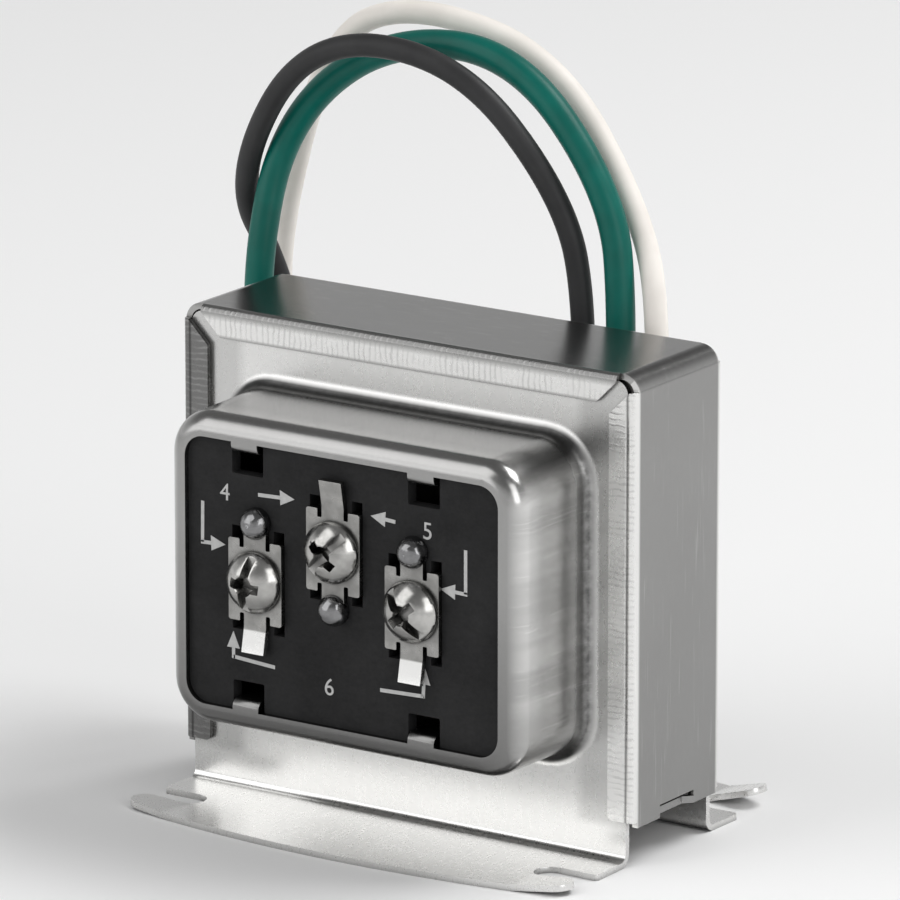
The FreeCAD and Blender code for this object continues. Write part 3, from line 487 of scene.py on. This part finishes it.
def solder_tin():
    """Set solder, grey, lumpy and slightly frosted."""
    made = Surface("solder_tin", Metallic=1.0)
    frost = made.noise(1400.0)
    lump = made.noise(320.0, 2.0)
    made.set("Base Color", made.mix(frost, colour(0.15, 0.15, 0.153), colour(0.32, 0.32, 0.325)))
    made.set("Roughness", 0.12 + frost * 0.16)
    made.set("Normal", made.bump(lump + frost * 0.03, 0.6, 0.9))
    return made.material


def insulation(name, dark, light, roughness):
    """Extruded insulation of a lead, slightly uneven."""
    made = Surface(name, Specular_IOR_Level=0.25)
    cloud = made.noise(160.0)
    fine = made.noise(2200.0)
    made.set("Base Color", made.mix(made.ramp(cloud, 0.35, 0.65), colour(*dark), colour(*light)))
    made.set("Roughness", roughness + fine * 0.14)
    made.set("Normal", made.bump(fine * 0.5 + cloud * 0.5, 0.12, 0.05))
    return made.material


def copper():
    """Bare copper strands, a little tarnished."""
    made = Surface("bare_copper", Metallic=1.0)
    tarnish = made.noise(900.0)
    made.set("Base Color", made.mix(tarnish, colour(0.5, 0.22, 0.12), colour(0.82, 0.45, 0.28)))
    made.set("Roughness", 0.22 + tarnish * 0.2)
    return made.material


def enamelled_wire():
    """Layer of enamelled copper turns, side by side along Z."""
    made = Surface("enamelled_wire", Metallic=0.8)
    turns = made.layers("Z", 900.0, 0.6)
    made.set("Base Color", made.mix(turns, colour(0.2, 0.06, 0.02), colour(0.55, 0.2, 0.07)))
    made.set("Roughness", 0.3 + turns * 0.1)
    made.set("Normal", made.bump(turns, 0.5, 0.1))
    return made.material


def laminations():
    """Edges of the stacked laminations, along Y, with oil stains."""
    made = Surface("lamination_steel", Metallic=1.0)
    sheets = made.layers("Y", 630.0, 0.3)
    stain_and_painted_shade = made.noise(160.0, 4.0)
    clean = made.ramp(stain_and_painted_shade + sheets * 0.3, 0.4, 0.9)
    made.set("Base Color", made.mix(clean, colour(0.1, 0.09, 0.085), colour(0.3, 0.29, 0.28)))
    made.set("Roughness", 0.35 + stain_and_painted_shade * 0.25)
    made.set("Normal", made.bump(sheets, 0.4, 0.08))
    return made.material


def moulded(name, dark, light, roughness):
    """Moulded or wound insulating material with a faint mottle."""
    made = Surface(name, Specular_IOR_Level=0.4)
    mottle = made.noise(500.0)
    made.set("Base Color", made.mix(mottle, colour(*dark), colour(*light)))
    made.set("Roughness", roughness + mottle * 0.15)
    made.set("Normal", made.bump(mottle, 0.1, 0.04))
    return made.material


def new_piece(name, mesh, material):
    """Object at the origin that rides on the part's one body."""
    piece = bpy.data.objects.new(name, mesh)
    bpy.context.scene.collection.objects.link(piece)
    mesh.materials.clear()
    mesh.materials.append(material)
    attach(piece, "root")
    return piece


def dressed(node, material):
    """Merged copy of a CAD node with rounded edges and smooth curves, which stands for the node."""
    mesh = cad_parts[node].data.copy()
    shape = bmesh.new()
    shape.from_mesh(mesh)
    bmesh.ops.remove_doubles(shape, verts=shape.verts, dist=merge_distance * mm)
    bmesh.ops.dissolve_limit(shape, angle_limit=math.radians(flat_angle), verts=shape.verts,
                             edges=shape.edges)
    limit = math.radians(sharp_angle)
    edges = [edge for edge in shape.edges if edge.calc_face_angle(0.0) > limit]
    bmesh.ops.bevel(shape, geom=edges, offset=edge_round * mm, affect="EDGES", segments=edge_segments,
                    profile=0.5, material=-1, clamp_overlap=True)
    for face in shape.faces:
        face.smooth = True
    shape.to_mesh(mesh)
    shape.free()
    piece = new_piece(node + "_dressed", mesh, material)
    weighted = piece.modifiers.new("weighted_normals", "WEIGHTED_NORMAL")
    weighted.keep_sharp = True
    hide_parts(node)


def paint(node, material):
    """Finish of a CAD node that keeps its own shape."""
    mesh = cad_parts[node].data
    mesh.materials.clear()
    mesh.materials.append(material)


def strands(name, material):
    """Stripped end of a lead: strands twisted round a middle one."""
    start = Vector(lead_routes[name][-1]) * mm
    way = (start - Vector(lead_routes[name][-2]) * mm).normalized()
    radius = conductor_diameters[name] * mm / (2 * strands_across)
    shape = bmesh.new()
    spots = [Vector((0, 0, 0))]
    for index in range(outer_strands):
        angle = math.tau * index / outer_strands
        spots.append(Vector((math.cos(angle), math.sin(angle), 0)) * 2 * radius)
    for spot in spots:
        bmesh.ops.create_circle(shape, cap_ends=True, radius=radius, segments=strand_sides,
                                matrix=Matrix.Translation(spot))
    ends = list(shape.faces)
    rise = Vector((0, 0, strip_length * mm / strand_steps))
    turn = Matrix.Rotation(math.radians(strand_twist / strand_steps), 3, "Z")
    for step in range(strand_steps):
        grown = bmesh.ops.extrude_face_region(shape, geom=ends)
        ends = [item for item in grown["geom"] if isinstance(item, bmesh.types.BMFace)]
        moved = [item for item in grown["geom"] if isinstance(item, bmesh.types.BMVert)]
        bmesh.ops.rotate(shape, verts=moved, matrix=turn)
        bmesh.ops.translate(shape, verts=moved, vec=rise)
    place = Matrix.Translation(start) @ way.to_track_quat("Z", "Y").to_matrix().to_4x4()
    bmesh.ops.transform(shape, matrix=place, verts=shape.verts)
    bmesh.ops.recalc_face_normals(shape, faces=shape.faces)
    for face in shape.faces:
        face.smooth = len(face.verts) == 4
    mesh = bpy.data.meshes.new("strands_" + name)
    shape.to_mesh(mesh)
    shape.free()
    piece = new_piece("strands_" + name, mesh, material)
    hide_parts("lead_" + name + "_end")
    return piece


def lead(name, material, end):
    """Insulated lead along its route, as one smooth line."""
    curve = bpy.data.curves.new("insulation_" + name, "CURVE")
    curve.dimensions = "3D"
    spline = curve.splines.new("NURBS")
    points = lead_routes[name]
    spline.points.add(len(points) - 1)
    for point, (x, y, z) in zip(spline.points, points):
        point.co = (x * mm, y * mm, z * mm, 1.0)
    spline.order_u = 3
    spline.use_endpoint_u = True
    spline.resolution_u = lead_steps
    curve.bevel_depth = lead_diameters[name] * mm / 2
    curve.bevel_resolution = lead_round_steps
    curve.use_fill_caps = True
    curve.materials.append(material)
    piece = bpy.data.objects.new("insulation_" + name, curve)
    bpy.context.scene.collection.objects.link(piece)
    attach(piece, "root")
    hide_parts("lead_" + name)


def flat_mesh(data):
    """Mesh of a text or a flat curve."""
    holder = bpy.data.objects.new("holder", data)
    bpy.context.scene.collection.objects.link(holder)
    bpy.context.view_layer.update()
    evaluated = holder.evaluated_get(bpy.context.evaluated_depsgraph_get())
    mesh = bpy.data.meshes.new_from_object(evaluated)
    bpy.data.objects.remove(holder)
    return mesh


def printed(name, data, x, z, material):
    """Mark on the board's face, from a flat text or curve."""
    data.extrude = ink_thickness * mm
    mesh = flat_mesh(data)
    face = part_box("terminal_board")[0].y
    place = Matrix.Translation((x * mm, face - ink_thickness * mm, z * mm))
    mesh.transform(place @ Matrix.Rotation(math.pi / 2, 4, "X"))
    new_piece(name, mesh, material)


def number(text, x, z, material):
    """Printed number with its lower left corner at a place on the board."""
    data = bpy.data.curves.new("number_" + text, "FONT")
    data.body = text
    data.size = number_height * mm / digit_share
    printed("mark_number_" + text, data, x, z, material)


def closed_shape(curve, corners):
    """Adds a filled outline to a flat curve."""
    spline = curve.splines.new("POLY")
    spline.points.add(len(corners) - 1)
    for point, (x, z) in zip(spline.points, corners):
        point.co = (x * mm, z * mm, 0.0, 1.0)
    spline.use_cyclic_u = True


def arrow(index, points, material):
    """Printed line with square corners and a solid head at its end."""
    curve = bpy.data.curves.new("arrow", "CURVE")
    curve.dimensions = "2D"
    curve.fill_mode = "BOTH"
    places = [Vector(point) for point in points]
    tip = places[-1]
    way = (tip - places[-2]).normalized()
    side = Vector((-way.y, way.x))
    root = tip - way * arrow_length
    closed_shape(curve, [root + side * arrow_half_width, tip, root - side * arrow_half_width])
    places[-1] = root
    half = ink_line_width / 2
    for start, end in zip(places, places[1:]):
        run = (end - start).normalized()
        across = Vector((-run.y, run.x)) * half
        start = start - run * half
        closed_shape(curve, [start + across, start - across, end - across, end + across])
    printed("mark_arrow_%d" % index, curve, 0.0, 0.0, material)


def lamp(name, place, size, power):
    """Soft rectangular lamp aimed at the part."""
    data = bpy.data.lights.new(name, "AREA")
    data.shape = "RECTANGLE"
    data.size, data.size_y = size
    data.energy = power
    item = bpy.data.objects.new(name, data)
    bpy.context.scene.collection.objects.link(item)
    item.location = place
    item.rotation_euler = (Vector(lamp_aim) - Vector(place)).to_track_quat("-Z", "Y").to_euler()


def surroundings():
    """Studio round the part, bright at the horizon and dim above."""
    world = bpy.data.worlds.new("studio")
    bpy.context.scene.world = world
    world.use_nodes = True
    sky = Nodes(world.node_tree)
    way = sky.node("ShaderNodeTexCoord", output="Generated")
    rise = sky.node("ShaderNodeSeparateXYZ", None, {0: way}, "Z")
    stops = [(height, colour(level, level, level)) for height, level in sky_levels]
    shade = sky.node("ShaderNodeValToRGB", {"stops": stops}, {0: rise})
    sky.feed(world.node_tree.nodes["Background"].inputs["Color"], shade)


def pale_floor():
    """Plain floor under the feet."""
    shape = bmesh.new()
    below = Matrix.Translation((0.0, 0.0, -floor_gap))
    bmesh.ops.create_grid(shape, x_segments=1, y_segments=1, size=floor_reach, matrix=below)
    mesh = bpy.data.meshes.new("floor")
    shape.to_mesh(mesh)
    shape.free()
    floor = bpy.data.objects.new("floor", mesh)
    bpy.context.scene.collection.objects.link(floor)
    made = Surface("floor_paper", Roughness=0.9, Specular_IOR_Level=0.1)
    made.set("Base Color", colour(floor_grey, floor_grey, floor_grey))
    mesh.materials.append(made.material)


def studio():
    """Surroundings, floor and lamps."""
    surroundings()
    pale_floor()
    for name, place, size, power in lamps:
        lamp(name, place, size, power)


def camera():
    """Camera of the photograph's view."""
    data = bpy.data.cameras.new("camera")
    data.lens = camera_lens
    data.sensor_width = camera_sensor
    item = bpy.data.objects.new("camera", data)
    bpy.context.scene.collection.objects.link(item)
    item.location = Vector(camera_place) * mm
    item.rotation_euler = (math.radians(90.0 - camera_tilt), 0.0, math.radians(camera_turn))
    bpy.context.scene.camera = item


def dress():
    """Every piece and its finish."""
    covers = cover_steel()
    nickel = plated("terminal_nickel", (0.36, 0.356, 0.345), 0.16, (700.0, 700.0, 3000.0), tab_highlight_heights)
    screw_nickel = plated("screw_nickel", (0.48, 0.475, 0.46), 0.11)
    bushing = moulded("bushing_nylon", (0.015, 0.015, 0.015), (0.035, 0.035, 0.035), 0.35)
    rivet = plated("rivet_aluminium", (0.72, 0.72, 0.73), 0.3)
    bare_copper = copper()
    marks = ink()

    dressed("outer_band", band_steel())
    dressed("front_cover", covers)
    dressed("rear_cover", covers)
    dressed("terminal_board", board_black())
    for side in ("left", "centre", "right"):
        dressed("terminal_" + side, nickel)
        paint("tap_" + side, bare_copper)
    dressed("terminal_screws", screw_nickel)
    dressed("solder_joints", solder_tin())
    dressed("lead_bushing", bushing)
    dressed("ground_rivet", rivet)

    core = laminations()
    paint("core_e_stack", core)
    paint("core_i_stack", core)
    wire = enamelled_wire()
    for node in ("primary_winding", "secondary_winding", "primary_start_wire", "primary_finish_wire"):
        paint(node, wire)
    tape = moulded("winding_tape", (0.018, 0.017, 0.016), (0.034, 0.033, 0.031), 0.4)
    paint("primary_wrap", tape)
    paint("secondary_wrap", tape)
    paint("bobbin", moulded("bobbin_nylon", (0.02, 0.02, 0.02), (0.04, 0.04, 0.04), 0.4))
    sleeve = moulded("splice_sleeve", (0.7, 0.7, 0.68), (0.82, 0.82, 0.8), 0.4)
    paint("primary_start_splice", sleeve)
    paint("primary_finish_splice", sleeve)
    paint("ground_lug", plated("lug_brass", (0.72, 0.56, 0.28), 0.28))

    finishes = {
        "black": insulation("insulation_black", (0.024, 0.024, 0.025), (0.034, 0.034, 0.035), 0.42),
        "green": insulation("insulation_green", (0.0, 0.1, 0.078), (0.0, 0.13, 0.102), 0.34),
        "white": insulation("insulation_white", (0.8, 0.76, 0.71), (0.88, 0.84, 0.79), 0.4),
    }
    for name, finish in finishes.items():
        lead(name, finish, strands(name, bare_copper))

    for text, x, z in mark_numbers:
        number(text, x, z, marks)
    for index, points in enumerate(mark_arrows):
        arrow(index, points, marks)


dress()
studio()
camera()
bpy.context.scene.view_settings.view_transform = "Standard"
bpy.context.view_layer.update()
